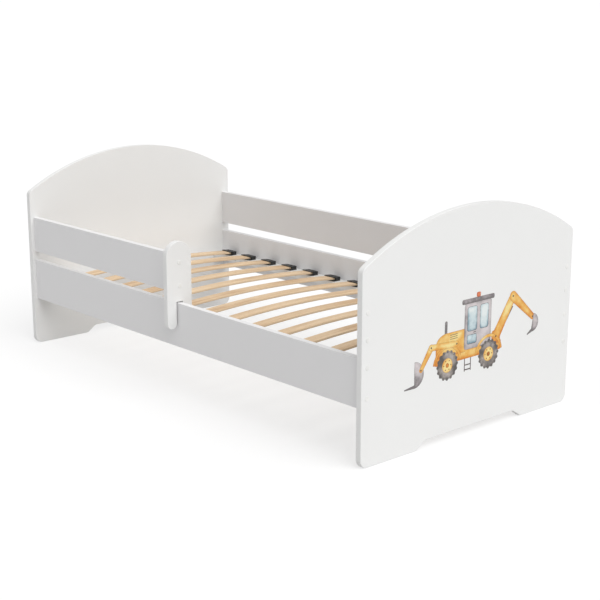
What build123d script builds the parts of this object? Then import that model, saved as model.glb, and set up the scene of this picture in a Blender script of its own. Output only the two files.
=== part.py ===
"""Toddler bed with arched end panels, a hook-over guard barrier and a sprung slat base.

Millimetres. +X runs from the headboard to the footboard, -Y is the guard side and +Z is up.
The origin is on the floor, under the middle of the whole bed.
"""
import math
import os

from build123d import *

# ---------------------------------------------------------------- driving dimensions
BED_LENGTH = 1436            # over the outer faces of the two end panels
PANEL_WIDTH = 758
PANEL_HEIGHT = 574           # floor to the crown of the arch
BOARD = 16                   # thickness of every board
ARRIS = 1.2                  # rounding of every board's long edges
POST_PROUD = 22              # how far the guard post stands out past the end panels
MID_Y = POST_PROUD / 2       # the end panels' middle, moved over to centre the whole bed

# end panels
ARCH_RADIUS = 720
SHOULDER_RADIUS = 18
HEEL_RADIUS = 22
FOOT_INNER = 194             # from the panel's middle to the inner end of a foot
CUTOUT_HALF = 164            # half the flat top of the cut-out between the feet
CUTOUT_HEIGHT = 20
RAMP_RADIUS = 15
TOE_RADIUS = 6

# long boards, all on the same two planes
RAIL_OFFSET = 360            # from the panels' middle to the middle of a side board
RAIL_BOTTOM = 140
RAIL_TOP = 260
UPPER_BOTTOM = 286
UPPER_TOP = 390
RAIL_FIXINGS = (167, 240)    # heights of the two connector screws in each end of a rail
UPPER_FIXINGS = (305, 368)   # the same in each end of an upper board

# guard post
POST_WIDTH = 80
POST_TOP = 424
POST_MIDDLE = -(PANEL_WIDTH / 2 + POST_PROUD - POST_WIDTH / 2)
TONGUE_BOTTOM = 191
NOTCH_WIDTH = 20
NOTCH_TOP = 263
TONGUE_RADIUS = 14.9         # all but half of the 30 mm tongue

# cleats that carry the slats
CLEAT_DEPTH = 40
CLEAT_HEIGHT = 18
CLEAT_TOP = 189
CLEAT_END_GAP = 2
CLEAT_SCREWS_X = (-585, -283, 19, 321, 623)

# sprung slats
SLAT_COUNT = 14
SLAT_PITCH = 100.7
FIRST_SLAT_X = -635
SLAT_WIDTH = 37
SLAT_THICKNESS = 6.5
SLAT_HALF_LENGTH = 339
CROWN_TOP = 215              # height of a slat's upper face at mid-width
CROWN_RADIUS = 3390
SLAT_ARRIS = 1.5

# slat holders
HOLDER_WIDTH = 45
HOLDER_INNER = 313           # from the middle of the bed to the lip of the holder
HOLDER_OUTER = 342
HOLDER_CHEEK = 320           # where the side walls begin, behind the two lips
HOLDER_PLATE = 2.3
HOLDER_PLAY = 0.25           # around the slat
HOLDER_CORNER = 4
LIP_HOLLOW = 3               # depth of the hollow in the upper lip
PEG_OFFSET = 328
PEG_RADIUS = 4.8
PEG_LENGTH = 10
PEG_HOLE_RADIUS = 5
PEG_HOLE_DEPTH = 12

# connector screws, their holes and their cover caps
SCREW_HEAD_RADIUS = 5
SCREW_HEAD = 2.2
SCREW_HEAD_SUNK = 0.6        # below the board's face
SCREW_NECK_RADIUS = 3.4
SCREW_THREAD_RADIUS = 3.1
SCREW_LENGTH = 50
SOCKET_RADIUS = 2.3          # across the corners of the hexagon socket
SOCKET_DEPTH = 4
HOLE_PLAY = 0.1
CAP_RADIUS = 6.2
CAP_HEIGHT = 0.9
CAP_STUB_RADIUS = 1.7
CAP_STUB = 3

# cleat screws
CLEAT_SCREW_RADIUS = 2.2
CLEAT_SCREW_HEAD_RADIUS = 4.2
CLEAT_SCREW_LENGTH = 50

# ---------------------------------------------------------------- derived sizes
OUTER_X = BED_LENGTH / 2
INNER_X = OUTER_X - BOARD
ARCH_CENTRE_Z = PANEL_HEIGHT - ARCH_RADIUS
SHOULDER_Z = ARCH_CENTRE_Z + math.sqrt(ARCH_RADIUS**2 - (PANEL_WIDTH / 2) ** 2)
RAIL_INNER = RAIL_OFFSET - BOARD / 2
CLEAT_INNER = RAIL_INNER - CLEAT_DEPTH
CROWN_CENTRE_Z = CROWN_TOP - CROWN_RADIUS
SLATS_X = [FIRST_SLAT_X + SLAT_PITCH * k for k in range(SLAT_COUNT)]
PANEL_FIXINGS = [(side * RAIL_OFFSET, z) for side in (-1, 1) for z in RAIL_FIXINGS + UPPER_FIXINGS]
GUARD_FIXINGS = [(-RAIL_OFFSET, z) for z in UPPER_FIXINGS]
FOOT_FIXINGS = [place for place in PANEL_FIXINGS if place not in GUARD_FIXINGS]


def facing(x, way):
    """The upright plane across the bed at x, seen from the side that way points to."""
    return Plane(origin=(x, MID_Y, 0), x_dir=(0, way, 0), z_dir=(way, 0, 0))


def facing_side(y_offset, way):
    """The upright plane along the bed, y_offset from its middle line."""
    return Plane(origin=(0, MID_Y + y_offset, 0), x_dir=(-way, 0, 0), z_dir=(0, way, 0))


def turned(places, way):
    """Places on a facing() plane, whose sideways axis follows way."""
    return [(way * y, z) for y, z in places]


def save(part, label):
    part.label = label
    export_step(part, f"parts/{label}.step")


# ---------------------------------------------------------------- end panels
def end_panel(label, way):
    """Arched board on two feet; way is +1 for the footboard and -1 for the headboard."""
    half = PANEL_WIDTH / 2
    with BuildPart() as panel:
        with BuildSketch(facing(way * INNER_X, way)) as outline:
            with BuildLine():
                Polyline(
                    (-half, SHOULDER_Z),
                    (-half, 0),
                    (-FOOT_INNER, 0),
                    (-CUTOUT_HALF, CUTOUT_HEIGHT),
                    (CUTOUT_HALF, CUTOUT_HEIGHT),
                    (FOOT_INNER, 0),
                    (half, 0),
                    (half, SHOULDER_Z),
                )
                ThreePointArc((half, SHOULDER_Z), (0, PANEL_HEIGHT), (-half, SHOULDER_Z))
            make_face()
            fillet(outline.vertices().group_by(Axis.Y)[-1], SHOULDER_RADIUS)
            fillet(outline.vertices().group_by(Axis.Y)[1], RAMP_RADIUS)
            heels = outline.vertices().group_by(Axis.Y)[0].sort_by(Axis.X)
            fillet([heels[0], heels[-1]], HEEL_RADIUS)
            toes = outline.vertices().group_by(Axis.Y)[0].sort_by(Axis.X)
            fillet(toes[1:-1], TOE_RADIUS)
        extrude(amount=BOARD)
        fillet(panel.edges().filter_by(Axis.X, reverse=True), ARRIS)
        with Locations(facing(way * OUTER_X, way)):
            with Locations(*turned(PANEL_FIXINGS, way)):
                CounterBoreHole(
                    radius=SCREW_NECK_RADIUS + HOLE_PLAY,
                    counter_bore_radius=SCREW_HEAD_RADIUS + HOLE_PLAY,
                    counter_bore_depth=SCREW_HEAD + SCREW_HEAD_SUNK,
                )
    save(panel.part, label)


# ---------------------------------------------------------------- long boards
def long_board(label, side, x_low, x_high, z_low, z_high, fixings, screwed_cleat=False):
    """A straight board along the bed, bored in both ends for the connector screws."""
    with BuildPart() as board:
        with BuildSketch(facing(x_low, 1)):
            with Locations((side * RAIL_OFFSET, (z_low + z_high) / 2)):
                Rectangle(BOARD, z_high - z_low)
        extrude(amount=x_high - x_low)
        fillet(board.edges().filter_by(Axis.X), ARRIS)
        ends = [(side * RAIL_OFFSET, z) for z in fixings]
        bore_depth = SCREW_LENGTH - BOARD + 1
        for x_end, way in ((x_low, -1), (x_high, 1)):
            with Locations(facing(x_end, way)):
                with Locations(*turned(ends, way)):
                    Hole(radius=SCREW_THREAD_RADIUS + HOLE_PLAY, depth=bore_depth)
        if screwed_cleat:
            screw_z = CLEAT_TOP - CLEAT_HEIGHT / 2
            inward = -side
            with Locations(facing_side(side * RAIL_INNER, inward)):
                with Locations(*[(-inward * x, screw_z) for x in CLEAT_SCREWS_X]):
                    Hole(radius=CLEAT_SCREW_RADIUS + HOLE_PLAY, depth=CLEAT_SCREW_LENGTH - CLEAT_DEPTH + 1)
    save(board.part, label)


# ---------------------------------------------------------------- guard post
def guard_post():
    """Upright with a round head, notched from below so that it hooks over the front rail."""
    with BuildPart() as post:
        with BuildSketch(facing(0, 1)) as outline:
            with Locations((POST_MIDDLE, (POST_TOP + TONGUE_BOTTOM) / 2)):
                Rectangle(POST_WIDTH, POST_TOP - TONGUE_BOTTOM)
            with Locations((POST_MIDDLE, (NOTCH_TOP + TONGUE_BOTTOM) / 2)):
                Rectangle(NOTCH_WIDTH, NOTCH_TOP - TONGUE_BOTTOM, mode=Mode.SUBTRACT)
            fillet(outline.vertices().group_by(Axis.Y)[-1], POST_WIDTH / 2 - 0.05)
            fillet(outline.vertices().group_by(Axis.Y)[0], TONGUE_RADIUS)
        extrude(amount=BOARD)
        fillet(post.edges().filter_by(Axis.X, reverse=True), ARRIS)
        with Locations(facing(BOARD, 1)):
            with Locations(*GUARD_FIXINGS):
                CounterBoreHole(
                    radius=SCREW_NECK_RADIUS + HOLE_PLAY,
                    counter_bore_radius=SCREW_HEAD_RADIUS + HOLE_PLAY,
                    counter_bore_depth=SCREW_HEAD + SCREW_HEAD_SUNK,
                )
    save(post.part, "guard_post")


# ---------------------------------------------------------------- cleats
def cleat(label, side):
    """Square-edged strip screwed to a rail's inner face, drilled from above for the holders' pegs."""
    length = 2 * (INNER_X - CLEAT_END_GAP)
    middle_z = CLEAT_TOP - CLEAT_HEIGHT / 2
    inward = -side
    with BuildPart() as strip:
        with BuildSketch(facing(-length / 2, 1)):
            with Locations((side * (RAIL_INNER - CLEAT_DEPTH / 2), middle_z)):
                Rectangle(CLEAT_DEPTH, CLEAT_HEIGHT)
        extrude(amount=length)
        fillet(strip.edges().filter_by(Axis.X), ARRIS)
        with Locations(Plane.XY.offset(CLEAT_TOP)):
            with Locations(*[(x, MID_Y + side * PEG_OFFSET) for x in SLATS_X]):
                Hole(radius=PEG_HOLE_RADIUS, depth=PEG_HOLE_DEPTH)
        with Locations(facing_side(side * CLEAT_INNER, inward)):
            with Locations(*[(-inward * x, middle_z) for x in CLEAT_SCREWS_X]):
                CounterSinkHole(
                    radius=CLEAT_SCREW_RADIUS + HOLE_PLAY,
                    counter_sink_radius=CLEAT_SCREW_HEAD_RADIUS + HOLE_PLAY,
                    depth=CLEAT_DEPTH,
                )
    save(strip.part, label)


# ---------------------------------------------------------------- slats and holders
def slat_band(play):
    """Cuts a holder's sketch to the bent slat's cross-section, with play above and below it."""
    with Locations((0, CROWN_CENTRE_Z)):
        Circle(CROWN_RADIUS + play, mode=Mode.INTERSECT)
        Circle(CROWN_RADIUS - SLAT_THICKNESS - play, mode=Mode.SUBTRACT)


def slat(label, x):
    """One strip of bent laminated beech: a rounded section carried round the crown's arc."""
    half_turn = math.asin(SLAT_HALF_LENGTH / CROWN_RADIUS)
    centre = (x, MID_Y, CROWN_CENTRE_Z)
    front_end = Plane(origin=centre, x_dir=(1, 0, 0), z_dir=(0, -math.cos(half_turn), -math.sin(half_turn)))
    with BuildPart() as strip:
        with BuildSketch(front_end):
            with Locations((0, CROWN_RADIUS - SLAT_THICKNESS / 2)):
                RectangleRounded(SLAT_WIDTH, SLAT_THICKNESS, SLAT_ARRIS)
        revolve(axis=Axis(centre, (-1, 0, 0)), revolution_arc=2 * math.degrees(half_turn))
    save(strip.part, label)


def slat_holder(label, x, side):
    """Plastic shoe around a slat's end: two lips, two cheeks, a back wall and a peg."""
    depth = HOLDER_OUTER - HOLDER_INNER
    mouth = SLAT_WIDTH + 2 * HOLDER_PLAY
    top_radius = CROWN_RADIUS + HOLDER_PLAY + HOLDER_PLATE
    block_height = CROWN_TOP - CLEAT_TOP
    with BuildPart() as shoe:
        with BuildSketch(facing(x - HOLDER_WIDTH / 2, 1)):
            with Locations((side * (HOLDER_INNER + depth / 2), CLEAT_TOP + block_height / 2)):
                Rectangle(depth, block_height)
            with Locations((0, CROWN_CENTRE_Z)):
                Circle(top_radius, mode=Mode.INTERSECT)
        extrude(amount=HOLDER_WIDTH)
        fillet(shoe.edges().filter_by(Axis.Z), HOLDER_CORNER)
        chamfer(shoe.faces().sort_by(Axis.Z)[-1].edges(), 0.5)
        # the pocket for the slat's end, between the cheeks
        pocket_end = SLAT_HALF_LENGTH + HOLDER_PLAY
        with BuildSketch(facing(x - mouth / 2, 1)):
            with Locations((side * (pocket_end - depth), CROWN_TOP - block_height / 2)):
                Rectangle(2 * depth, 2 * block_height)
            slat_band(HOLDER_PLAY)
        extrude(amount=mouth, mode=Mode.SUBTRACT)
        # between the lips the pocket is open sideways too
        with BuildSketch(facing(x - HOLDER_WIDTH, 1)):
            with Locations((side * (HOLDER_CHEEK - depth), CROWN_TOP - block_height / 2)):
                Rectangle(2 * depth, 2 * block_height)
            slat_band(HOLDER_PLAY)
        extrude(amount=2 * HOLDER_WIDTH, mode=Mode.SUBTRACT)
        # the hollow in the upper lip
        hollow_radius = (HOLDER_WIDTH**2 / 4 + LIP_HOLLOW**2) / (2 * LIP_HOLLOW)
        hollow_middle = HOLDER_INNER + LIP_HOLLOW - hollow_radius
        with BuildSketch(Plane.XY.offset(CROWN_TOP - block_height / 2)):
            with Locations((x, MID_Y + side * hollow_middle)):
                Circle(hollow_radius)
        extrude(amount=block_height, mode=Mode.SUBTRACT)
        # the peg
        with BuildSketch(Plane.XY.offset(CLEAT_TOP)):
            with Locations((x, MID_Y + side * PEG_OFFSET)):
                Circle(PEG_RADIUS)
        extrude(amount=-PEG_LENGTH)
    save(shoe.part, label)


# ---------------------------------------------------------------- fasteners
def connector_screws():
    """Connector screws with hexagon sockets: through each panel into the boards, and through the post."""
    neck_end = BOARD - 1
    with BuildPart() as screws:
        places = [(OUTER_X, 1, FOOT_FIXINGS), (-OUTER_X, -1, PANEL_FIXINGS), (BOARD, 1, GUARD_FIXINGS)]
        for x_face, way, fixings in places:
            sunk = facing(x_face, way).offset(-SCREW_HEAD_SUNK)
            for radius, start, end in (
                (SCREW_HEAD_RADIUS, 0, SCREW_HEAD),
                (SCREW_NECK_RADIUS, SCREW_HEAD, neck_end),
                (SCREW_THREAD_RADIUS, neck_end, SCREW_LENGTH - SCREW_HEAD_SUNK),
            ):
                with BuildSketch(sunk.offset(-start)):
                    with Locations(*turned(fixings, way)):
                        Circle(radius)
                extrude(amount=start - end)
            with BuildSketch(sunk):
                with Locations(*turned(fixings, way)):
                    RegularPolygon(SOCKET_RADIUS, 6)
            extrude(amount=-SOCKET_DEPTH, mode=Mode.SUBTRACT)
    save(screws.part, "connector_screws")


def cover_caps():
    """Thin caps pressed over every connector screw and over the two spare guard holes."""
    with BuildPart() as caps:
        places = [(OUTER_X, 1, PANEL_FIXINGS), (-OUTER_X, -1, PANEL_FIXINGS), (BOARD, 1, GUARD_FIXINGS)]
        for x_face, way, fixings in places:
            for radius, end in ((CAP_RADIUS, CAP_HEIGHT), (CAP_STUB_RADIUS, -CAP_STUB)):
                with BuildSketch(facing(x_face, way)):
                    with Locations(*turned(fixings, way)):
                        Circle(radius)
                extrude(amount=end)
        rims = caps.edges().filter_by(GeomType.CIRCLE).filter_by(lambda rim: rim.radius == CAP_RADIUS)
        proud = [rim for rim in rims if abs(rim.center().X) in (OUTER_X + CAP_HEIGHT, BOARD + CAP_HEIGHT)]
        fillet(proud, CAP_HEIGHT / 2)
    save(caps.part, "cover_caps")


def cleat_screws():
    """Countersunk screws through each cleat into its rail."""
    middle_z = CLEAT_TOP - CLEAT_HEIGHT / 2
    cone = CLEAT_SCREW_HEAD_RADIUS - CLEAT_SCREW_RADIUS
    with BuildPart() as screws:
        for side in (-1, 1):
            inward = -side
            heads = facing_side(side * CLEAT_INNER, inward)
            places = [(-inward * x, middle_z) for x in CLEAT_SCREWS_X]
            with BuildSketch(heads):
                with Locations(*places):
                    Circle(CLEAT_SCREW_RADIUS)
            extrude(amount=-CLEAT_SCREW_LENGTH)
            with Locations(heads):
                with Locations(*[(u, v, -cone / 2) for u, v in places]):
                    Cone(CLEAT_SCREW_RADIUS, CLEAT_SCREW_HEAD_RADIUS, cone)
    save(screws.part, "cleat_screws")


# ---------------------------------------------------------------- the bed
os.makedirs("parts", exist_ok=True)

end_panel("headboard", -1)
end_panel("footboard", 1)
long_board("front_rail", -1, -INNER_X, INNER_X, RAIL_BOTTOM, RAIL_TOP, RAIL_FIXINGS, screwed_cleat=True)
long_board("back_rail", 1, -INNER_X, INNER_X, RAIL_BOTTOM, RAIL_TOP, RAIL_FIXINGS, screwed_cleat=True)
long_board("back_upper_board", 1, -INNER_X, INNER_X, UPPER_BOTTOM, UPPER_TOP, UPPER_FIXINGS)
long_board("guard_board", -1, -INNER_X, 0, UPPER_BOTTOM, UPPER_TOP, UPPER_FIXINGS)
guard_post()
cleat("front_cleat", -1)
cleat("back_cleat", 1)
for number, slat_x in enumerate(SLATS_X, start=1):
    slat(f"slat_{number:02d}", slat_x)
    slat_holder(f"front_holder_{number:02d}", slat_x, -1)
    slat_holder(f"back_holder_{number:02d}", slat_x, 1)
connector_screws()
cover_caps()
cleat_screws()
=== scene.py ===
"""Finishes a toddler bed: white boards, beech slats, black holders, cover caps and a printed digger."""

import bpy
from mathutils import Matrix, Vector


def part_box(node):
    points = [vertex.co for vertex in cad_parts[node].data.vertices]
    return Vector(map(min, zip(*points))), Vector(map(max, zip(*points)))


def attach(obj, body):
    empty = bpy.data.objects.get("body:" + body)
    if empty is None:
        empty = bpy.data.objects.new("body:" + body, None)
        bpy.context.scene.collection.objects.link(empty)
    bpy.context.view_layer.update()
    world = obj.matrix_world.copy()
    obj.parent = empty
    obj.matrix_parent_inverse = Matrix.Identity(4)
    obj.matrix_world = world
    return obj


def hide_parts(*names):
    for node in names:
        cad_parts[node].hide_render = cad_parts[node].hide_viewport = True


bl_info = {
    "name": "Toddler Bed Finisher",
    "version": (1, 0, 0),
    "blender": (4, 5, 0),
    "location": "3D View > Sidebar > Toddler Bed",
    "description": "Dresses the boards, lays the slats, prints the footboard's picture and lights the bed",
    "category": "Object",
}

import math

import bmesh
import bpy
import numpy as np
from bpy.props import FloatProperty, FloatVectorProperty, IntProperty, PointerProperty
from mathutils import Vector
from mathutils.geometry import delaunay_2d_cdt

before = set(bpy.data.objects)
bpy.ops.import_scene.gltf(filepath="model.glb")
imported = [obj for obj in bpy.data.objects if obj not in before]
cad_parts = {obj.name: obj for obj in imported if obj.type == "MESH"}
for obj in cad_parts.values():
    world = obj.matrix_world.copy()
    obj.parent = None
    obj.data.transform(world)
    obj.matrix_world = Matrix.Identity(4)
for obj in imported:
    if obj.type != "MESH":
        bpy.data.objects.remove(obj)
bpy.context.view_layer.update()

MM = 0.001
BODY = "root"
SLAT_NODES = sorted(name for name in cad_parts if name.startswith("slat_"))
HOLDER_NODES = sorted(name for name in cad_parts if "_holder_" in name)
PANEL_NODES = ("headboard", "footboard", "guard_post")
BOARD_NODES = ("front_rail", "back_rail", "back_upper_board", "guard_board")
CLEAT_NODES = ("front_cleat", "back_cleat")


def low_corner(node):
    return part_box(node)[0]


def high_corner(node):
    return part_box(node)[1]


def middle(node):
    """The middle of a CAD node's box."""
    return (low_corner(node) + high_corner(node)) / 2


def size(node):
    """The lengths of a CAD node's box."""
    return high_corner(node) - low_corner(node)


MID_Y = middle("footboard").y
FOOT_FACE = high_corner("footboard").x
POST_FACE = high_corner("guard_post").x


def screen(red, green, blue):
    """A linear colour from the 0 to 255 values that a paint chart gives."""
    parts = [part / 255 for part in (red, green, blue)]
    return tuple(part / 12.92 if part <= 0.04045 else ((part + 0.055) / 1.055) ** 2.4 for part in parts)


def opaque(colour, shade=1.0):
    """A colour with full alpha, made lighter or darker by shade."""
    return (*(min(1.0, part * shade) for part in colour[:3]), 1.0)


def colour_field(name, description, default):
    return FloatVectorProperty(name=name, description=description, default=default, subtype="COLOR")


def length_field(name, description, default):
    return FloatProperty(name=name, description=description, default=default, unit="LENGTH")


def strength_field(name, description, default):
    return FloatProperty(name=name, description=description, default=default, min=0.0)


# ---------------------------------------------------------------- node trees written as expressions
def add_node(tree, kind, settings=None, inputs=None, output=0):
    """Adds a node, sets it up, feeds its sockets by name or number, and gives back one of its outputs."""
    node = tree.nodes.new(kind)
    for name, value in (settings or {}).items():
        if name == "stops":
            set_stops(node.color_ramp, value)
        else:
            setattr(node, name, value)
    for key, value in (inputs or {}).items():
        if isinstance(value, Wire):
            tree.links.new(value.socket, node.inputs[key])
        else:
            node.inputs[key].default_value = value
    return Wire(tree, node.outputs[output]) if node.outputs else None


def set_stops(ramp, stops):
    """Gives a colour ramp its stops, each (position, colour)."""
    while len(ramp.elements) < len(stops):
        ramp.elements.new(1.0)
    for element, (position, colour) in zip(ramp.elements, stops):
        element.position = position
        element.color = colour


class Wire:
    """A socket that Python's operators work on, by adding Math nodes to its tree."""

    def __init__(self, tree, socket):
        self.tree = tree
        self.socket = socket

    def maths(self, operation, *values):
        return add_node(self.tree, "ShaderNodeMath", {"operation": operation}, dict(enumerate(values)))

    def other(self, key):
        """Another output of the same node."""
        return Wire(self.tree, self.socket.node.outputs[key])

    def __add__(self, value):
        return self.maths("ADD", self, value)

    def __radd__(self, value):
        return self.maths("ADD", value, self)

    def __sub__(self, value):
        return self.maths("SUBTRACT", self, value)

    def __rsub__(self, value):
        return self.maths("SUBTRACT", value, self)

    def __mul__(self, value):
        return self.maths("MULTIPLY", self, value)

    def __rmul__(self, value):
        return self.maths("MULTIPLY", value, self)

    def __truediv__(self, value):
        return self.maths("DIVIDE", self, value)

    def __pow__(self, value):
        return self.maths("POWER", self, value)

    def __abs__(self):
        return self.maths("ABSOLUTE", self)


def ease(value, start, end):
    """0 before start, 1 after end and a soft step between them."""
    return add_node(
        value.tree,
        "ShaderNodeMapRange",
        {"interpolation_type": "SMOOTHSTEP"},
        {"Value": value, "From Min": start, "From Max": end},
    )


# ---------------------------------------------------------------- finishes
class Finish:
    """A material: one Principled shader and the patterns that feed it."""

    def __init__(self, name):
        self.material = bpy.data.materials.new(name)
        self.material.use_nodes = True
        self.tree = self.material.node_tree
        self.shader = self.tree.nodes["Principled BSDF"]
        self.place = self.add("ShaderNodeTexCoord", output="Object")
        self.facing = self.place.other("Normal")

    def add(self, kind, settings=None, inputs=None, output=0):
        return add_node(self.tree, kind, settings, inputs, output)

    def axes(self, vector):
        """The three parts of a vector."""
        parts = self.add("ShaderNodeSeparateXYZ", inputs={0: vector})
        return parts, parts.other(1), parts.other(2)

    def stretched(self, scale, where=None):
        """The object's own coordinates, scaled along each axis."""
        return self.add("ShaderNodeMapping", inputs={"Vector": where or self.place, "Scale": scale})

    def noise(self, where, scale, detail=3.0, roughness=0.5):
        """Cloudy noise from 0 to 1."""
        inputs = {"Vector": where, "Scale": scale, "Detail": detail, "Roughness": roughness}
        return self.add("ShaderNodeTexNoise", inputs=inputs)

    def value(self, name):
        """A value stored on the mesh's points."""
        return self.add("ShaderNodeAttribute", {"attribute_name": name}, output="Fac")

    def blend(self, factor, first, second):
        """A colour between two."""
        return self.add("ShaderNodeMix", {"data_type": "RGBA"}, {0: factor, 6: first, 7: second}, output=2)

    def bump(self, height, strength, distance):
        inputs = {"Height": height, "Strength": strength, "Distance": distance}
        self.feed("Normal", self.add("ShaderNodeBump", inputs=inputs))

    def feed(self, socket, value):
        if isinstance(value, Wire):
            self.tree.links.new(value.socket, self.shader.inputs[socket])
        else:
            self.shader.inputs[socket].default_value = value


def laminate_finish(name, colour, thin_axis):
    """White melamine with a fine pearl and smoother edge bands; thin_axis is 0 for X and 1 for Y."""
    finish = Finish(name)
    across = abs(finish.axes(finish.facing)[thin_axis])
    face = ease(across, 0.90, 0.97)
    seam = ease(across, 0.72, 0.86) * (1 - face)
    mottle = finish.noise(finish.place, 9.0, detail=4.0)
    pearl = finish.noise(finish.place, 900.0, detail=2.0, roughness=0.6)
    wiped = ease(finish.noise(finish.stretched((3.0, 3.0, 14.0)), 2.0, detail=6.0), 0.46, 0.74)
    board = finish.blend(mottle, opaque(colour, 0.985), opaque(colour, 1.01))
    banded = finish.blend(face, opaque(colour, 1.03), board)
    finish.feed("Base Color", finish.blend(seam * 0.4, banded, opaque(colour, 0.66)))
    finish.feed("Roughness", 0.36 + 0.10 * face + 0.05 * mottle - 0.05 * wiped)
    finish.bump(pearl * face + 0.4 * mottle, 0.12, 0.2 * MM)
    return finish.material


def strip_finish(name, colour):
    """Plain white-painted softwood: faint brush lines along the strip under a matt coat."""
    finish = Finish(name)
    brush = finish.noise(finish.stretched((4.0, 160.0, 160.0)), 3.0, detail=5.0)
    cloud = finish.noise(finish.place, 14.0)
    finish.feed("Base Color", finish.blend(brush, opaque(colour, 0.95), opaque(colour, 1.03)))
    finish.feed("Roughness", 0.48 + 0.14 * cloud)
    finish.bump(brush, 0.2, 0.3 * MM)
    return finish.material


def beech_finish(slats):
    """Bent laminated beech: long grain with short flecks, and its veneers showing in the edges."""
    finish = Finish("beech")
    tint = finish.value("tint")
    depth = finish.value("depth")
    shift = finish.add("ShaderNodeCombineXYZ", inputs={1: tint * 9.0})
    along = finish.add("ShaderNodeVectorMath", {"operation": "ADD"}, {0: finish.place, 1: shift})
    figure = finish.noise(finish.stretched((1.0, 0.05, 1.0), along), 70.0, detail=5.0, roughness=0.62)
    pores = finish.noise(finish.stretched((1.0, 0.025, 1.0), along), 700.0, detail=2.0)
    flecks = finish.noise(finish.stretched((1.0, 0.20, 1.0), along), 420.0, detail=1.0)
    cloud = finish.noise(along, 6.0, detail=2.0)
    grain = finish.add(
        "ShaderNodeValToRGB",
        {"stops": [(0.28, opaque(slats.brown)), (0.50, opaque(slats.tan)), (0.72, opaque(slats.pale))]},
        {0: figure * 0.72 + 0.28 * cloud + 0.09 * (tint - 0.5)},
    )
    flecked = finish.blend(ease(flecks, 0.58, 0.70) * 0.35, grain, opaque(slats.brown))
    pored = finish.blend(ease(pores, 0.56, 0.70) * 0.30, flecked, opaque(slats.brown, 0.72))
    # the veneers and the glue lines between them show where the surface faces along the bed
    side = ease(abs(finish.axes(finish.facing)[0]), 0.55, 0.85)
    layer = depth * slats.veneers
    within = layer.maths("FRACT", layer)
    glue = ease(abs(within - 0.5), 0.40, 0.49)
    half = layer.maths("FLOOR", layer) * 0.5
    odd = half.maths("FRACT", half) * 2.0
    veneer = finish.blend(odd, opaque(slats.pale, 0.98), opaque(slats.tan, 0.86))
    edge = finish.blend(glue * 0.6, veneer, opaque(slats.brown, 0.55))
    finish.feed("Base Color", finish.blend(side * 0.8, pored, edge))
    finish.feed("Roughness", 0.46 + 0.16 * figure)
    finish.bump(figure * 0.5 + pores * 0.5, 0.25, 0.3 * MM)
    return finish.material


def moulded_finish(name, colour, roughness, grain):
    """Moulded plastic with a fine spark-eroded texture."""
    finish = Finish(name)
    sparks = finish.noise(finish.place, grain, detail=2.0)
    cloud = finish.noise(finish.place, 60.0)
    finish.feed("Base Color", finish.blend(cloud, opaque(colour, 0.85), opaque(colour, 1.15)))
    finish.feed("Roughness", roughness + 0.12 * (cloud - 0.5) + 0.08 * (sparks - 0.5))
    finish.bump(sparks, 0.3, 0.1 * MM)
    return finish.material


def zinc_finish():
    """Bright zinc plating with turning marks."""
    finish = Finish("zinc")
    marks = finish.noise(finish.stretched((40.0, 900.0, 900.0)), 2.0, detail=3.0)
    finish.feed("Base Color", finish.blend(marks, (0.52, 0.52, 0.50, 1.0), (0.74, 0.74, 0.71, 1.0)))
    finish.feed("Metallic", 1.0)
    finish.feed("Roughness", 0.24 + 0.16 * marks)
    return finish.material


PAPER = 0.80    # share of the light that comes back through thin ink from the board's white


def wash_finish(name, pale, body, deep, ink, line=0.8, mottle=1.7, gather=0.42):
    """Water-colour wash: soft clouds of pigment, gathered at the rim inside a broken ink line."""
    finish = Finish(name)
    pale, body, deep, ink = (opaque(colour, PAPER) for colour in (pale, body, deep, ink))
    edge = finish.value("edge")
    wash = finish.value("wash")
    cloud = finish.noise(finish.place, 34.0, detail=4.0, roughness=0.55)
    bloom = finish.noise(finish.place, 75.0, detail=2.0)
    paper = finish.noise(finish.place, 620.0, detail=2.0, roughness=0.7)
    rim = 1 - ease(edge, 0.0, 10.0)
    backrun = 1 - ease(abs(bloom - 0.52), 0.0, 0.03)
    pigment = wash - 0.16 + mottle * (cloud - 0.5) + gather * rim + 0.10 * backrun + 0.16 * (paper - 0.5)
    stops = [(0.05, pale), (0.50, body), (0.98, deep)]
    paint = finish.add("ShaderNodeValToRGB", {"stops": stops}, {0: pigment})
    pressure = ease(finish.noise(finish.place, 120.0, detail=2.0), 0.30, 0.62)
    drawn = (1 - ease(edge, line * 0.45, line)) * (0.35 + 0.55 * pressure)
    finish.feed("Base Color", finish.blend(drawn, paint, ink))
    finish.feed("Roughness", 0.42 + 0.06 * paper)
    finish.bump(paper, 0.06, 0.1 * MM)
    return finish.material


def floor_finish(name, colour, glow):
    """Pale studio floor, lit a little from below, with barely a trace of texture."""
    finish = Finish(name)
    cloud = finish.noise(finish.place, 0.8, detail=3.0)
    finish.feed("Base Color", finish.blend(cloud, opaque(colour, 0.99), opaque(colour)))
    finish.feed("Roughness", 0.92 + 0.04 * cloud)
    finish.feed("Specular IOR Level", 0.1)
    finish.feed("Emission Color", (1.0, 1.0, 1.0, 1.0))
    finish.feed("Emission Strength", glow)
    return finish.material


def dress(nodes, material):
    """Gives CAD nodes one material."""
    for name in nodes:
        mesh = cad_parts[name].data
        mesh.materials.clear()
        mesh.materials.append(material)


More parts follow.
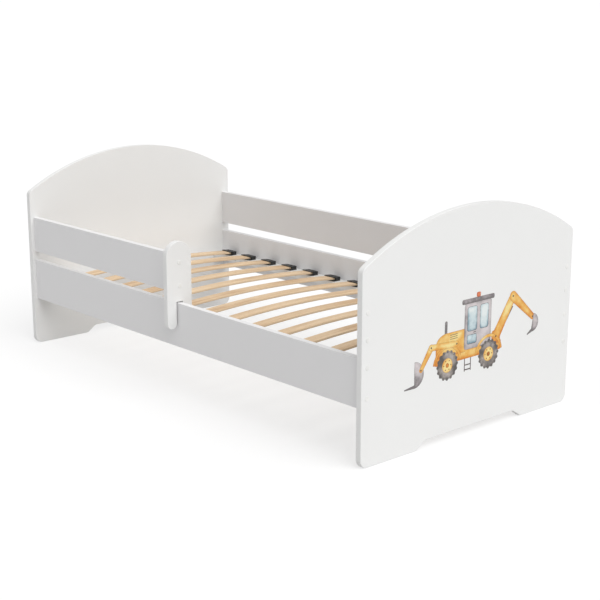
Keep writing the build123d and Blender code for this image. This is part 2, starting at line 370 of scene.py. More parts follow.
# ---------------------------------------------------------------- geometry trees
class Jig:
    """A Geometry Nodes tree with named inputs, whose result is taken off as a plain mesh."""

    def __init__(self, name):
        self.tree = bpy.data.node_groups.new(name, "GeometryNodeTree")
        self.tree.interface.new_socket("Geometry", in_out="OUTPUT", socket_type="NodeSocketGeometry")
        self.tree.interface.new_socket("Places", in_out="INPUT", socket_type="NodeSocketGeometry")
        self.source = self.tree.nodes.new("NodeGroupInput")
        self.places = Wire(self.tree, self.source.outputs["Places"])
        self.values = {}

    def ask(self, name, kind, value):
        """Declares a named input and the value that it gets."""
        socket = self.tree.interface.new_socket(name, in_out="INPUT", socket_type="NodeSocket" + kind)
        self.values[socket.identifier] = value
        return Wire(self.tree, self.source.outputs[name])

    def length(self, name, value):
        return self.ask(name, "Float", value)

    def count(self, name, value):
        return self.ask(name, "Int", value)

    def add(self, kind, settings=None, inputs=None, output=0):
        return add_node(self.tree, kind, settings, inputs, output)

    def point(self, x=0.0, y=0.0, z=0.0):
        return self.add("ShaderNodeCombineXYZ", inputs={0: x, 1: y, 2: z})

    def axes(self, vector):
        parts = self.add("ShaderNodeSeparateXYZ", inputs={0: vector})
        return parts, parts.other(1), parts.other(2)

    def here(self):
        """The position of each point."""
        return self.axes(self.add("GeometryNodeInputPosition"))

    def note(self, geometry, name, value, domain="POINT"):
        """Stores a named value on the geometry, for the finish to read."""
        inputs = {"Geometry": geometry, "Name": name, "Value": value}
        return self.add("GeometryNodeStoreNamedAttribute", {"data_type": "FLOAT", "domain": domain}, inputs)

    def copies(self, places, thing, turn=(0.0, 0.0, 0.0)):
        inputs = {"Points": places, "Instance": thing, "Rotation": turn}
        return self.add("GeometryNodeInstanceOnPoints", inputs=inputs)

    def pebble(self, length, width, height, fullness, segments, rings):
        """A closed rounded block with a flattened top: a ball whose powers are lowered by fullness."""
        round_ball = {"Segments": segments, "Rings": rings, "Radius": 1.0}
        ball = self.add("GeometryNodeMeshUVSphere", inputs=round_ball)
        x, y, z = self.here()
        across = (x * x + y * y) ** 0.5
        spread = (across + 1e-6) ** (fullness - 1.0)
        lift = z.maths("SIGN", z) * (abs(z) ** 0.5)
        shaped = self.point(x * spread * length, y * spread * width, lift * height)
        return self.add("GeometryNodeSetPosition", inputs={"Geometry": ball, "Position": shaped})

    def finish(self, geometry, material):
        """Ends the tree with real geometry in its material."""
        real = self.add("GeometryNodeRealizeInstances", inputs={0: geometry})
        done = self.add("GeometryNodeSetMaterial", inputs={"Geometry": real, "Material": material})
        self.tree.links.new(done.socket, self.tree.nodes.new("NodeGroupOutput").inputs[0])

    def take(self, name, places=()):
        """Runs the tree on points at these places and gives back its result as a plain mesh object."""
        mesh = bpy.data.meshes.new(name + "_places")
        mesh.from_pydata([tuple(place) for place in places], [], [])
        worker = bpy.data.objects.new(name + "_jig", mesh)
        bpy.context.scene.collection.objects.link(worker)
        modifier = worker.modifiers.new("jig", "NODES")
        modifier.node_group = self.tree
        for identifier, value in self.values.items():
            modifier[identifier] = value
        made = worker.evaluated_get(bpy.context.evaluated_depsgraph_get())
        piece = bpy.data.objects.new(name, bpy.data.meshes.new_from_object(made))
        bpy.data.objects.remove(worker)
        bpy.context.scene.collection.objects.link(piece)
        piece.data.name = name
        return piece


def smooth(piece, angle_degrees):
    """Shades a piece smoothly, apart from edges sharper than an angle."""
    mesh = piece.data
    mesh.polygons.foreach_set("use_smooth", [True] * len(mesh.polygons))
    mesh.set_sharp_from_angle(angle=math.radians(angle_degrees))


def settle(piece, nodes=()):
    """Puts a finished piece on the bed, in place of any CAD nodes named."""
    if not piece.data.polygons:
        raise RuntimeError(f"{piece.name} came out empty")
    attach(piece, BODY)
    if nodes:
        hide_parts(*nodes)


# ---------------------------------------------------------------- slats
SLAT_THICKNESS = 6.5 * MM


def crown():
    """The radius of the slats' upper faces and the height of its centre, from a slat's box."""
    top = high_corner(SLAT_NODES[0]).z
    half = size(SLAT_NODES[0]).y / 2
    # the ends' lower corners lie on the arc that is one thickness inside the crown
    fall = top - SLAT_THICKNESS - low_corner(SLAT_NODES[0]).z
    radius = (half**2 + fall**2) / (2 * fall) + SLAT_THICKNESS
    return radius, top - radius


class SlatSettings(bpy.types.PropertyGroup):
    """The bent beech slats."""

    pitch: length_field(
        "Pitch", "From the middle of one slat to the next", middle(SLAT_NODES[1]).x - middle(SLAT_NODES[0]).x
    )
    width: length_field("Width", "Along the bed", size(SLAT_NODES[0]).x)
    thickness: length_field("Thickness", "All veneers together", SLAT_THICKNESS)
    arris: length_field("Arris", "Rounding of the long edges", 1.5 * MM)
    veneers: IntProperty(name="Veneers", description="Layers of beech in a slat", default=7, min=1)
    rings: IntProperty(name="Rings", description="Sections round the bend", default=65, min=9)
    pale: colour_field("Pale", "Lightest wood", screen(225, 201, 170))
    tan: colour_field("Tan", "Middle wood", screen(213, 185, 150))
    brown: colour_field("Brown", "Grain and flecks", screen(180, 142, 102))


class TODDLERBED_OT_lay_slats(bpy.types.Operator):
    """Lay the row of bent slats in their holders"""

    bl_idname = "toddlerbed.lay_slats"
    bl_label = "Lay Slats"

    def execute(self, context):
        slats = context.scene.bed_slats
        radius, centre_z = crown()
        half_turn = math.asin(size(SLAT_NODES[0]).y / 2 / radius)
        jig = Jig("Bent slats")
        pitch = jig.length("Pitch", slats.pitch)
        width = jig.length("Width", slats.width)
        thickness = jig.length("Thickness", slats.thickness)
        arris = jig.length("Arris", slats.arris)
        crown_radius = jig.length("Crown radius", radius)
        turn = jig.length("Half turn", half_turn)
        amount = jig.count("Count", len(SLAT_NODES))
        rings = jig.count("Rings", slats.rings)
        seed = jig.count("Seed", 7)
        arc = jig.add(
            "GeometryNodeCurveArc",
            {"mode": "RADIUS"},
            {
                "Resolution": rings,
                "Radius": crown_radius - thickness * 0.5,
                "Start Angle": 0.0 - turn,
                "Sweep Angle": turn * 2.0,
            },
        )
        section = jig.add(
            "GeometryNodeCurvePrimitiveQuadrilateral", inputs={"Width": thickness, "Height": width}
        )
        eased = jig.add(
            "GeometryNodeFilletCurve", {"mode": "POLY"}, {"Curve": section, "Count": 4, "Radius": arris}
        )
        strip = jig.add(
            "GeometryNodeCurveToMesh", inputs={"Curve": arc, "Profile Curve": eased, "Fill Caps": True}
        )
        x, y, _ = jig.here()
        inset = crown_radius - (x * x + y * y) ** 0.5
        layered = jig.note(strip, "depth", inset / thickness)
        stood = jig.add(
            "GeometryNodeTransform", inputs={"Geometry": layered, "Rotation": (0.0, -math.pi / 2, 0.0)}
        )
        first = (middle(SLAT_NODES[0]).x, MID_Y, centre_z)
        row = jig.add(
            "GeometryNodeMeshLine",
            {"mode": "OFFSET", "count_mode": "TOTAL"},
            {"Count": amount, "Start Location": first, "Offset": jig.point(pitch)},
        )
        laid = jig.copies(row, stood)
        chance = jig.add("FunctionNodeRandomValue", {"data_type": "FLOAT"}, {"Seed": seed}, output=1)
        tinted = jig.note(laid, "tint", chance, domain="INSTANCE")
        jig.finish(tinted, beech_finish(slats))
        piece = jig.take("bent_slats")
        smooth(piece, 50)
        settle(piece, SLAT_NODES)
        return {"FINISHED"}


# ---------------------------------------------------------------- boards, cleats, holders, caps, screws
class BoardSettings(bpy.types.PropertyGroup):
    """The white boards and everything screwed to them."""

    white: colour_field("White", "Melamine faces and edge bands", (0.77, 0.77, 0.762))
    rail_white: colour_field("Rail white", "Melamine of the long boards", (0.77, 0.765, 0.77))
    strip: colour_field("Strip", "Paint on the cleats", (0.80, 0.80, 0.78))
    black: colour_field("Holder black", "Plastic of the holders", (0.012, 0.012, 0.012))
    cap_radius: length_field("Cap radius", "Across a cover cap, halved", 6.2 * MM)
    cap_white: colour_field("Cap white", "Plastic of the cover caps", (0.766, 0.762, 0.745))
    rib_length: length_field("Rib length", "Of the grip ribs on a holder", 26 * MM)
    rib_pitch: length_field("Rib pitch", "Between the grip ribs on a holder", 3.4 * MM)


class TODDLERBED_OT_dress_boards(bpy.types.Operator):
    """Face the boards with white melamine and paint the cleats"""

    bl_idname = "toddlerbed.dress_boards"
    bl_label = "Dress Boards"

    def execute(self, context):
        boards = context.scene.bed_boards
        dress(PANEL_NODES, laminate_finish("panel_melamine", boards.white, thin_axis=0))
        dress(BOARD_NODES, laminate_finish("rail_melamine", boards.rail_white, thin_axis=1))
        dress(CLEAT_NODES, strip_finish("painted_strip", boards.strip))
        return {"FINISHED"}


LIP = 2.55 * MM             # a holder's upper lip stands this much above the slats' crown
RIB_SET = 5.5 * MM          # from a holder's middle towards the rail, to its grip ribs
RAIL_CAP_GAP = 73 / 201     # between a rail's two caps, as a share of a whole column of caps
UPPER_CAP_GAP = 63 / 201    # the same for an upper board


class TODDLERBED_OT_dress_holders(bpy.types.Operator):
    """Blacken the slat holders and raise grip ribs on their upper lips"""

    bl_idname = "toddlerbed.dress_holders"
    bl_label = "Dress Holders"

    def execute(self, context):
        boards = context.scene.bed_boards
        black = moulded_finish("holder_black", boards.black, roughness=0.38, grain=1500.0)
        dress(HOLDER_NODES, black)
        jig = Jig("Grip ribs")
        length = jig.length("Length", boards.rib_length)
        pitch = jig.length("Pitch", boards.rib_pitch)
        rib = jig.pebble(length * 0.5, 0.55 * MM, 0.45 * MM, 0.35, segments=24, rings=10)
        comb = jig.add(
            "GeometryNodeMeshLine",
            {"mode": "OFFSET", "count_mode": "TOTAL"},
            {"Count": 3, "Start Location": jig.point(0.0, 0.0 - pitch), "Offset": jig.point(0.0, pitch)},
        )
        ribs = jig.add("GeometryNodeRealizeInstances", inputs={0: jig.copies(comb, rib)})
        _, y, _ = jig.here()
        slope = jig.point((MID_Y - y) / crown()[0])
        jig.finish(jig.copies(jig.places, ribs, slope), black)
        places = [self.top_of(name) for name in HOLDER_NODES]
        piece = jig.take("holder_ribs", places)
        smooth(piece, 60)
        settle(piece)
        return {"FINISHED"}

    def top_of(self, name):
        """The middle of a holder's curved upper lip, towards the rail."""
        radius, centre_z = crown()
        holder_radius = radius + LIP
        y = middle(name).y + math.copysign(RIB_SET, middle(name).y - MID_Y)
        return (middle(name).x, y, centre_z + math.sqrt(holder_radius**2 - (y - MID_Y) ** 2))


class TODDLERBED_OT_fit_caps(bpy.types.Operator):
    """Press the round caps over the connector screws"""

    bl_idname = "toddlerbed.fit_caps"
    bl_label = "Fit Caps"

    def execute(self, context):
        boards = context.scene.bed_boards
        low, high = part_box("cover_caps")
        proud = high.x - FOOT_FACE
        jig = Jig("Cover caps")
        radius = jig.length("Radius", boards.cap_radius)
        cap = jig.pebble(radius, radius, proud, 0.22, segments=40, rings=16)
        x, _, _ = jig.here()
        turn = jig.point(0.0, x.maths("SIGN", x) * (math.pi / 2))
        plastic = moulded_finish("cap_white", boards.cap_white, roughness=0.30, grain=900.0)
        jig.finish(jig.copies(jig.places, cap, turn), plastic)
        piece = jig.take("cap_discs", self.places(low, high, boards.cap_radius))
        smooth(piece, 60)
        settle(piece, ["cover_caps"])
        return {"FINISHED"}

    def places(self, low, high, radius):
        """Two caps on each board's end, top and bottom, and two on the post."""
        lowest, highest = low.z + radius, high.z - radius
        spacing = highest - lowest
        rail = (lowest, lowest + spacing * RAIL_CAP_GAP)
        upper = (highest - spacing * UPPER_CAP_GAP, highest)
        sides = (low.y + radius, high.y - radius)
        ends = [(x, y, z) for x in (-FOOT_FACE, FOOT_FACE) for y in sides for z in rail + upper]
        return ends + [(POST_FACE, sides[0], z) for z in upper]


class TODDLERBED_OT_drive_screws(bpy.types.Operator):
    """Drive the countersunk cross-recess screws into the cleats and plate the connector screws"""

    bl_idname = "toddlerbed.drive_screws"
    bl_label = "Drive Screws"

    def execute(self, context):
        zinc = zinc_finish()
        dress(["connector_screws"], zinc)
        low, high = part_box("cleat_screws")
        head_radius = (high.z - low.z) / 2
        jig = Jig("Cleat screws")
        radius = jig.length("Head radius", head_radius)
        shank = jig.length("Shank radius", head_radius * 0.42)
        length = jig.length("Length", high.y - high_corner("back_cleat").y + size("back_cleat").y)
        cone = {"Vertices": 32, "Radius Top": radius, "Radius Bottom": shank, "Depth": radius - shank}
        head = jig.add("GeometryNodeMeshCone", inputs=cone)
        sunk = jig.add(
            "GeometryNodeTransform", inputs={"Geometry": head, "Translation": jig.point(z=shank - radius)}
        )
        # the rod is a little thinner than the head's small end, so that no two faces coincide
        rod = jig.add(
            "GeometryNodeMeshCylinder", inputs={"Vertices": 24, "Radius": shank * 0.93, "Depth": length}
        )
        shaft = jig.add(
            "GeometryNodeTransform", inputs={"Geometry": rod, "Translation": jig.point(z=length * -0.5)}
        )
        arms = [
            jig.add("GeometryNodeMeshCube", inputs={"Size": jig.point(*arm, radius * 0.9)})
            for arm in ((radius * 1.15, radius * 0.26), (radius * 0.26, radius * 1.15))
        ]
        whole = self.boolean(jig, "UNION", sunk, shaft)
        crossed = self.boolean(jig, "DIFFERENCE", whole, self.boolean(jig, "UNION", *arms))
        _, y, _ = jig.here()
        turn = jig.point((y - MID_Y).maths("SIGN", y - MID_Y) * (math.pi / 2))
        jig.finish(jig.copies(jig.places, crossed, turn), zinc)
        piece = jig.take("cleat_screw_set", self.places(low, high, head_radius))
        settle(piece, ["cleat_screws"])
        return {"FINISHED"}

    def boolean(self, jig, operation, first, second):
        """One solid from two."""
        node = jig.tree.nodes.new("GeometryNodeMeshBoolean")
        node.operation = operation
        node.solver = "EXACT"
        kept = "Mesh 1" if operation == "DIFFERENCE" else "Mesh 2"
        jig.tree.links.new(first.socket, node.inputs[kept])
        jig.tree.links.new(second.socket, node.inputs["Mesh 2"])
        return Wire(jig.tree, node.outputs["Mesh"])

    def places(self, low, high, radius):
        """Five evenly spaced screws on each cleat's inner face."""
        first, last = low.x + radius, high.x - radius
        height = (low.z + high.z) / 2
        faces = (high_corner("front_cleat").y, low_corner("back_cleat").y)
        return [(first + (last - first) * step / 4, y, height) for y in faces for step in range(5)]


# ---------------------------------------------------------------- outlines for the picture, in millimetres
def arc(centre, radius, start, end, steps=24):
    """Points round a circle from one angle to another, in degrees."""
    angles = [math.radians(start + (end - start) * step / steps) for step in range(steps + 1)]
    return [(centre[0] + radius * math.cos(a), centre[1] + radius * math.sin(a)) for a in angles]


def disc(centre, radius, steps=40):
    return arc(centre, radius, 0, 360 - 360 / steps, steps - 1)


def arch(centre, inner, outer, start, end):
    """A curved band, such as a mudguard."""
    return arc(centre, outer, start, end) + arc(centre, inner, end, start)


def rounded(corners, bend_steps=6):
    """An outline through corners (across, up) or (across, up, setback); a setback rounds its corner."""
    points = []
    for index, corner in enumerate(corners):
        here = Vector(corner[:2])
        if len(corner) == 2:
            points.append(here)
            continue
        before = Vector(corners[index - 1][:2]) - here
        after = Vector(corners[(index + 1) % len(corners)][:2]) - here
        start = here + before * min(0.5, corner[2] / before.length)
        end = here + after * min(0.5, corner[2] / after.length)
        for step in range(bend_steps + 1):
            t = step / bend_steps
            points.append(start * (1 - t) ** 2 + here * (2 * t * (1 - t)) + end * t**2)
    return [tuple(point) for point in points]


def stroke(path, width):
    """A band of one width along an open path of corners, with square ends."""
    line = [Vector(point) for point in path]
    left, right = [], []
    for index, point in enumerate(line):
        before = (point - line[index - 1]).normalized() if index else None
        after = (line[index + 1] - point).normalized() if index + 1 < len(line) else None
        along = (before or after) + (after or before)
        aside = Vector((-along.y, along.x)).normalized() * width / 2
        left.append(tuple(point + aside))
        right.append(tuple(point - aside))
    return right + left[::-1]


def block(left, right, low, high, setback):
    """An upright rectangle with round corners."""
    return rounded([(x, y, setback) for x, y in ((left, low), (right, low), (right, high), (left, high))])


def bar(start, end, start_radius, end_radius):
    """A tapering arm with round ends."""
    lean = math.degrees(math.atan2(end[1] - start[1], end[0] - start[0]))
    near = arc(start, start_radius, lean + 90, lean + 270, 12)
    return near + arc(end, end_radius, lean - 90, lean + 90, 12)


def tyre(centre, radius, lugs):
    """A tyre's outline with blunt lugs round it."""
    steps = lugs * 8
    points = []
    for step in range(steps):
        angle = 2 * math.pi * step / steps
        lug = max(-1.0, min(1.0, 2.2 * math.cos(lugs * angle)))
        reach = radius * (0.957 + 0.043 * lug)
        points.append((centre[0] + reach * math.cos(angle), centre[1] + reach * math.sin(angle)))
    return points


# ---------------------------------------------------------------- laying a shape down as a printed film
GRID = 3.0          # between the points inside a shape, in millimetres
FILM = 0.06 * MM    # each layer of ink stands this much higher than the one below


def to_outline(points, outline):
    """Each point's distance from a closed outline."""
    starts = outline[None, :, :]
    runs = np.roll(outline, -1, axis=0)[None, :, :] - starts
    away = points[:, None, :] - starts
    share = np.clip((away * runs).sum(2) / np.maximum((runs**2).sum(2), 1e-12), 0, 1)
    return np.sqrt(((away - share[..., None] * runs) ** 2).sum(2)).min(1)


def is_inside(points, outline):
    """Which points lie inside a closed outline."""
    x, y = points[:, :1], points[:, 1:]
    x1, y1 = outline[:, 0], outline[:, 1]
    x2, y2 = np.roll(x1, -1), np.roll(y1, -1)
    rise = np.where(np.abs(y2 - y1) < 1e-12, 1e-12, y2 - y1)
    crossed = ((y1 > y) != (y2 > y)) & (x < (x2 - x1) * (y - y1) / rise + x1)
    return crossed.sum(1) % 2 == 1


def inner_points(outline):
    """A honeycomb of points inside an outline, and a row just inside its edge."""
    low, high = outline.min(0), outline.max(0)
    rows = np.arange(low[1], high[1], GRID * 0.87)
    columns = np.arange(low[0], high[0], GRID)
    honeycomb = [(x + (row % 2) * GRID / 2, y) for row, y in enumerate(rows) for x in columns]
    ahead, behind = np.roll(outline, -1, axis=0), np.roll(outline, 1, axis=0)
    along = ahead - behind
    aside = np.stack([-along[:, 1], along[:, 0]], 1)
    aside /= np.maximum(np.linalg.norm(aside, axis=1, keepdims=True), 1e-9)
    groups = []
    for depth, spare in ((1.0, 0.95), (GRID, 0.9)):
        for way in (depth, -depth):
            row = outline + aside * way
            groups.append(row[to_outline(row, outline) > depth * spare])
    loose = np.array(honeycomb) if honeycomb else np.zeros((0, 2))
    groups.append(loose[to_outline(loose, outline) > GRID * 1.5] if len(loose) else loose)
    points = np.concatenate(groups)
    return points[is_inside(points, outline)]


class Print:
    """Collects printed shapes of one colour, each a closed film from the board's face up to its layer."""

    def __init__(self, name):
        self.name = name
        self.verts = []
        self.faces = []
        self.edge = []
        self.wash = []

    def lay(self, outline, layer, low=0.4, high=None):
        """Adds a shape; its wash goes from low at its foot to high at its head."""
        high = low if high is None else high
        outline = np.array(outline, float)
        loose = inner_points(outline)
        flat = [Vector(point) for point in np.concatenate([outline, loose])]
        ring = list(range(len(outline)))
        points, _, triangles, _, _, _ = delaunay_2d_cdt(flat, [], [ring], 1, 1e-4)
        spots = np.array([tuple(point) for point in points])
        edge = to_outline(spots, outline)
        edge[edge < 1e-3] = 0.0
        share = (spots[:, 1] - outline[:, 1].min()) / max(np.ptp(outline[:, 1]), 1e-6)
        wash = low + (high - low) * share
        first, count = len(self.verts), len(spots)
        for height in (layer * FILM, -FILM / 2):
            self.verts += [(FOOT_FACE + height, MID_Y + u * MM, v * MM) for u, v in spots]
            self.edge += list(edge)
            self.wash += list(wash)
        used = {}
        for triangle in triangles:
            a, b, c = (Vector(points[index]) for index in triangle)
            turn = list(triangle) if (b - a).cross(c - a) > 0 else list(triangle)[::-1]
            self.faces.append([first + index for index in turn])
            self.faces.append([first + count + index for index in reversed(turn)])
            for start, end in zip(turn, turn[1:] + turn[:1]):
                used[start, end] = True
        for start, end in used:
            if (end, start) not in used:
                ring = (start, start + count, end + count, end)
                self.faces.append([first + index for index in ring])

    def finish(self, material):
        """Makes the print one mesh on the footboard."""
        mesh = bpy.data.meshes.new(self.name)
        mesh.from_pydata(self.verts, [], self.faces)
        mesh.materials.append(material)
        for name, values in (("edge", self.edge), ("wash", self.wash)):
            mesh.attributes.new(name, "FLOAT", "POINT").data.foreach_set("value", values)
        piece = bpy.data.objects.new(self.name, mesh)
        bpy.context.scene.collection.objects.link(piece)
        settle(piece)


# ---------------------------------------------------------------- the digger
class PictureSettings(bpy.types.PropertyGroup):
    """The picture printed on the footboard."""

    ground: length_field("Ground", "Height of the wheels' foot above the floor", 154 * MM)
    straw: colour_field("Straw", "Palest paint of the body", screen(255, 232, 158))
    amber: colour_field("Amber", "Body paint", screen(246, 188, 92))
    orange: colour_field("Orange", "Deepest paint of the body", screen(226, 138, 46))
    ink: colour_field("Ink", "Drawn lines", screen(92, 80, 76))
    glass: colour_field("Glass", "Windows", screen(210, 227, 231))
    steel: colour_field("Steel", "Cab, buckets and pipe", screen(198, 190, 191))
    rubber: colour_field("Rubber", "Tyres", screen(142, 135, 131))


WHEEL = 38              # radius of both wheels
AXLES = (-92, 58)       # across from the panel's middle line
BOLTS = 6


class Digger:
    """A plain digger in millimetres from the panel's middle line and its own level ground line."""

    def __init__(self, ground):
        self.ground = ground / MM
        self.wheels = [(across, WHEEL) for across in AXLES]

    def raised(self, outline):
        return [(u, v + self.ground) for u, v in outline]

    def lay_all(self, name, material, shapes):
        """Prints (outline, layer, low wash, high wash) shapes as one piece."""
        film = Print(name)
        for outline, layer, *wash in shapes:
            film.lay(self.raised(outline), layer, *wash)
        film.finish(material)

    def body(self):
        yield block(-136, 104, 42, 68, 6), 2, 0.84, 0.60
        hood = [(-134, 60, 4), (-134, 104, 18), (-110, 118, 14), (-28, 118, 4), (-28, 60, 4)]
        yield rounded(hood), 3, 0.66, 0.30
        yield block(68, 100, 60, 94, 8), 2.5, 0.90, 0.62
        yield bar((84, 78), (146, 170), 15, 12), 3.5, 0.62, 0.20
        yield bar((146, 170), (226, 104), 13, 8), 4.5, 0.70, 0.24
        for wheel in self.wheels:
            yield arch(wheel, WHEEL + 5, WHEEL + 13, 8, 172), 4.6, 0.50, 0.14
        yield bar((-60, 86), (-150, 92), 8, 8), 6, 0.34, 0.22
        yield bar((-150, 92), (-184, 44), 9, 6), 5.5, 0.58, 0.30

    def tyres(self):
        lugs = 16
        for wheel in self.wheels:
            yield tyre(wheel, WHEEL, lugs), 5, 0.66, 0.50
            for lug in range(lugs):
                angle = 360 * lug / lugs
                yield arch(wheel, WHEEL * 0.80, WHEEL * 0.97, angle - 3.2, angle + 3.2), 6, 1.0, 0.85

    def rims(self):
        for wheel in self.wheels:
            yield disc(wheel, WHEEL * 0.48), 6, 0.20, 0.06

    def hubs(self):
        for wheel in self.wheels:
            yield disc(wheel, WHEEL * 0.15, 24), 7, 0.55, 0.35
            for bolt in arc(wheel, WHEEL * 0.33, 0, 360 - 360 / BOLTS, BOLTS - 1):
                yield disc(bolt, WHEEL * 0.045, 12), 7, 1.2

    def cab(self):
        yield block(-34, 64, 64, 180, 10), 4.2, 0.60, 0.34
        yield block(-44, 74, 178, 190, 5), 5.5, 0.98, 0.80
        yield block(-104, -95, 112, 148, 4), 1, 1.05, 0.85

    def windows(self):
        yield block(-24, 12, 108, 170, 8), 5, 0.72, 0.22
        yield block(22, 54, 108, 170, 8), 5, 0.84, 0.18
        yield block(-24, 12, 76, 100, 6), 5, 0.82, 0.40

    def buckets(self):
        yield arc((-206, 36), 32, -90, 90), 4, 0.80, 0.36
        yield bar((-206, 8), (-238, 6), 4, 1.5), 5, 1.1, 0.95
        yield arc((226, 88), 24, -100, 80), 5, 0.90, 0.40
        yield bar((222, 67), (208, 60), 4, 1.5), 6, 1.1, 0.95

    def beacon(self):
        yield block(8, 22, 190, 202, 4), 7, 0.60, 0.40

    def lines(self):
        for across in (-30, -8):
            yield stroke([(across, 10), (across, 42)], 2.2), 7
        for height in (14, 26):
            yield stroke([(-30, height), (-8, height)], 2.6), 6.7
        for height in (101, 106, 111):
            yield stroke([(-84, height), (-58, height)], 1.4), 3.4
        yield stroke([(-2, 104), (8, 104)], 1.8), 6
        yield stroke([(104, 88), (146, 144)], 3.0), 3
        for pin in ((84, 78), (146, 170), (226, 104), (-60, 86), (-150, 92), (-184, 44)):
            yield disc(pin, 2.4, 14), 7


class TODDLERBED_OT_print_digger(bpy.types.Operator):
    """Print the water-colour digger on the footboard's outer face"""

    bl_idname = "toddlerbed.print_digger"
    bl_label = "Print Digger"

    def execute(self, context):
        paint = context.scene.bed_picture
        digger = Digger(paint.ground)
        brown = tuple(part * 0.45 for part in paint.orange)
        body = wash_finish("body_paint", paint.straw, paint.amber, paint.orange, brown)
        rim = wash_finish("rim_paint", paint.straw, paint.amber, paint.orange, brown)
        hub = wash_finish("hub_paint", paint.amber, paint.orange, screen(150, 84, 30), brown)
        pale_steel = tuple(min(1.0, part * 1.35) for part in paint.steel)
        deep_steel = tuple(part * 0.38 for part in paint.steel)
        steel = wash_finish("steel_paint", pale_steel, paint.steel, deep_steel, paint.ink, gather=0.3)
        pale_rubber = tuple(part * 1.9 for part in paint.rubber)
        deep_rubber = tuple(part * 0.42 for part in paint.rubber)
        rubber = wash_finish(
            "rubber_paint", pale_rubber, paint.rubber, deep_rubber, deep_rubber, mottle=3.0, gather=0.25
        )
        pale_glass, deep_glass = screen(240, 247, 246), screen(124, 156, 172)
        glass = wash_finish("glass_paint", pale_glass, paint.glass, deep_glass, paint.ink, line=1.9)
        pale_red, red, deep_red = screen(250, 180, 140), screen(238, 140, 96), screen(206, 96, 58)
        beacon = wash_finish("beacon_paint", pale_red, red, deep_red, brown)
        deep_ink = tuple(part * 0.5 for part in paint.ink)
        lines = wash_finish("ink_paint", paint.ink, paint.ink, deep_ink, paint.ink)
        for name, material, shapes in (
            ("digger_body", body, digger.body()),
            ("digger_tyres", rubber, digger.tyres()),
            ("digger_rims", rim, digger.rims()),
            ("digger_hubs", hub, digger.hubs()),
            ("digger_cab", steel, digger.cab()),
            ("digger_windows", glass, digger.windows()),
            ("digger_buckets", steel, digger.buckets()),
            ("digger_beacon", beacon, digger.beacon()),
            ("digger_lines", lines, digger.lines()),
        ):
            digger.lay_all(name, material, shapes)
        return {"FINISHED"}


# ---------------------------------------------------------------- the studio
class StudioSettings(bpy.types.PropertyGroup):
    """Floor, lights and camera."""

    floor: colour_field("Floor", "Floor that lights the bed", (0.50, 0.50, 0.50))
    bounce: strength_field("Bounce", "Light given to the bed by the floor", 0.20)
    shown_floor: colour_field("Shown floor", "Floor that is seen", (0.33, 0.33, 0.33))
    glow: strength_field("Glow", "Brightness of the shown floor", 0.64)
    ambient: strength_field("Ambient", "Even light from all round", 0.04)
    overhead: strength_field("Overhead", "Wide light from above", 1.95)
    foot_light: strength_field("Foot light", "Key light on the footboard", 2.12)
    lens: FloatProperty(name="Lens", description="Camera's focal length", default=78.5, min=1.0)


FLOOR_REACH = 60.0
CAMERA_PLACE = (2.7184, -2.3385, 1.1019)
CAMERA_TURN = 0.8420
CAMERA_DIP = 0.2449
FOOT_LIGHT_FROM = (0.84, 0.0, 1.0)


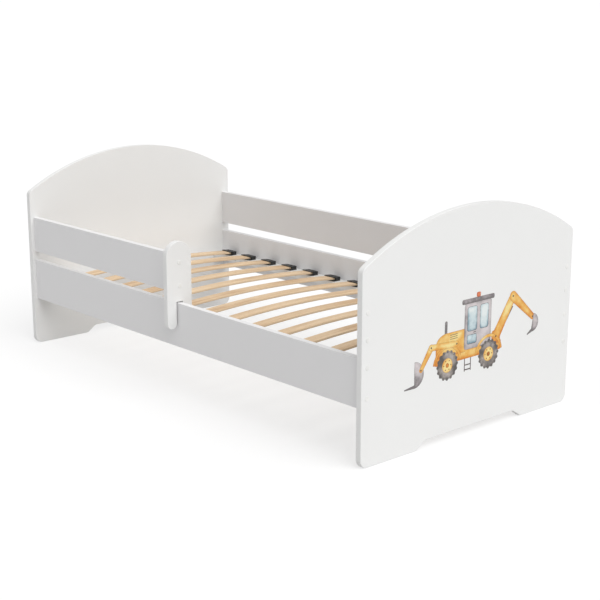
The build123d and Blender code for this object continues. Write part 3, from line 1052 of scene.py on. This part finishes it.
class TODDLERBED_OT_set_stage(bpy.types.Operator):
    """Lay the floor, light the bed and set up the camera"""

    bl_idname = "toddlerbed.set_stage"
    bl_label = "Set Stage"

    def execute(self, context):
        studio = context.scene.bed_studio
        self.floor(studio)
        self.world(studio)
        self.sun("overhead", (0.0, 0.0, 1.0), studio.overhead, 160)
        self.sun("foot_light", FOOT_LIGHT_FROM, studio.foot_light, 60)
        self.camera(studio)
        context.scene.view_settings.view_transform = "Standard"
        return {"FINISHED"}

    def floor(self, studio):
        """Two plain sheets: the one below lights the bed, and the one above is seen and takes the shadow."""
        low = self.sheet("studio_floor_light", -MM, floor_finish("floor_light", studio.floor, studio.bounce))
        low.visible_camera = False
        shown = self.sheet("studio_floor", 0.0, floor_finish("studio_floor", studio.shown_floor, studio.glow))
        self.hide_from_light(shown)

    def sheet(self, name, height, material):
        across = ((-1, -1), (1, -1), (1, 1), (-1, 1))
        mesh = bpy.data.meshes.new(name)
        mesh.from_pydata([(x * FLOOR_REACH, y * FLOOR_REACH, height) for x, y in across], [], [(0, 1, 2, 3)])
        mesh.materials.append(material)
        return self.stand(mesh)

    def stand(self, mesh):
        thing = bpy.data.objects.new(mesh.name, mesh)
        bpy.context.scene.collection.objects.link(thing)
        return thing

    def hide_from_light(self, thing):
        for ray in ("diffuse", "glossy", "transmission", "volume_scatter", "shadow"):
            setattr(thing, "visible_" + ray, False)

    def world(self, studio):
        """A trace of even light, and a white dome that is seen but neither lights nor shades the bed."""
        world = bpy.data.worlds.new("studio")
        world.use_nodes = True
        world.node_tree.nodes["Background"].inputs["Color"].default_value = (1.0, 1.0, 1.0, 1.0)
        world.node_tree.nodes["Background"].inputs["Strength"].default_value = studio.ambient
        bpy.context.scene.world = world
        shape = bmesh.new()
        bmesh.ops.create_icosphere(shape, subdivisions=4, radius=FLOOR_REACH)
        mesh = bpy.data.meshes.new("studio_dome")
        shape.to_mesh(mesh)
        shape.free()
        mesh.materials.append(self.dome_finish())
        self.hide_from_light(self.stand(mesh))

    def dome_finish(self):
        material = bpy.data.materials.new("studio_dome")
        material.use_nodes = True
        tree = material.node_tree
        tree.nodes.clear()
        glow = tree.nodes.new("ShaderNodeEmission")
        tree.links.new(glow.outputs[0], tree.nodes.new("ShaderNodeOutputMaterial").inputs["Surface"])
        return material

    def sun(self, name, towards, strength, spread_degrees):
        """A wide, even light from one direction."""
        light = bpy.data.lights.new(name, "SUN")
        light.energy = strength
        light.angle = math.radians(spread_degrees)
        lamp = bpy.data.objects.new(name, light)
        lamp.rotation_euler = Vector(towards).to_track_quat("Z", "Y").to_euler()
        bpy.context.scene.collection.objects.link(lamp)

    def camera(self, studio):
        view = bpy.data.cameras.new("camera")
        view.lens = studio.lens
        view.sensor_width = 36.0
        stand = bpy.data.objects.new("camera", view)
        stand.location = CAMERA_PLACE
        stand.rotation_euler = (math.pi / 2 - CAMERA_DIP, 0.0, CAMERA_TURN)
        bpy.context.scene.collection.objects.link(stand)
        bpy.context.scene.camera = stand


# ---------------------------------------------------------------- the add-on
class TODDLERBED_PT_panel(bpy.types.Panel):
    """Lists the steps that finish the bed"""

    bl_label = "Toddler Bed"
    bl_space_type = "VIEW_3D"
    bl_region_type = "UI"
    bl_category = "Toddler Bed"

    def draw(self, context):
        for step in STEPS:
            self.layout.operator(step.bl_idname)
        for name, group in GROUPS.items():
            box = self.layout.box()
            for field in group.__annotations__:
                box.prop(getattr(context.scene, name), field)


STEPS = (
    TODDLERBED_OT_dress_boards,
    TODDLERBED_OT_lay_slats,
    TODDLERBED_OT_dress_holders,
    TODDLERBED_OT_fit_caps,
    TODDLERBED_OT_drive_screws,
    TODDLERBED_OT_print_digger,
    TODDLERBED_OT_set_stage,
)
GROUPS = {
    "bed_slats": SlatSettings,
    "bed_boards": BoardSettings,
    "bed_picture": PictureSettings,
    "bed_studio": StudioSettings,
}


def register():
    for cls in (*GROUPS.values(), *STEPS, TODDLERBED_PT_panel):
        bpy.utils.register_class(cls)
    for name, group in GROUPS.items():
        setattr(bpy.types.Scene, name, PointerProperty(type=group))


def unregister():
    for name in GROUPS:
        delattr(bpy.types.Scene, name)
    for cls in reversed((*GROUPS.values(), *STEPS, TODDLERBED_PT_panel)):
        bpy.utils.unregister_class(cls)


def main():
    """Finishes the bed step by step."""
    register()
    bpy.ops.toddlerbed.dress_boards()
    bpy.ops.toddlerbed.lay_slats()
    bpy.ops.toddlerbed.dress_holders()
    bpy.ops.toddlerbed.fit_caps()
    bpy.ops.toddlerbed.drive_screws()
    bpy.ops.toddlerbed.print_digger()
    bpy.ops.toddlerbed.set_stage()


if __name__ == "__main__":
    main()
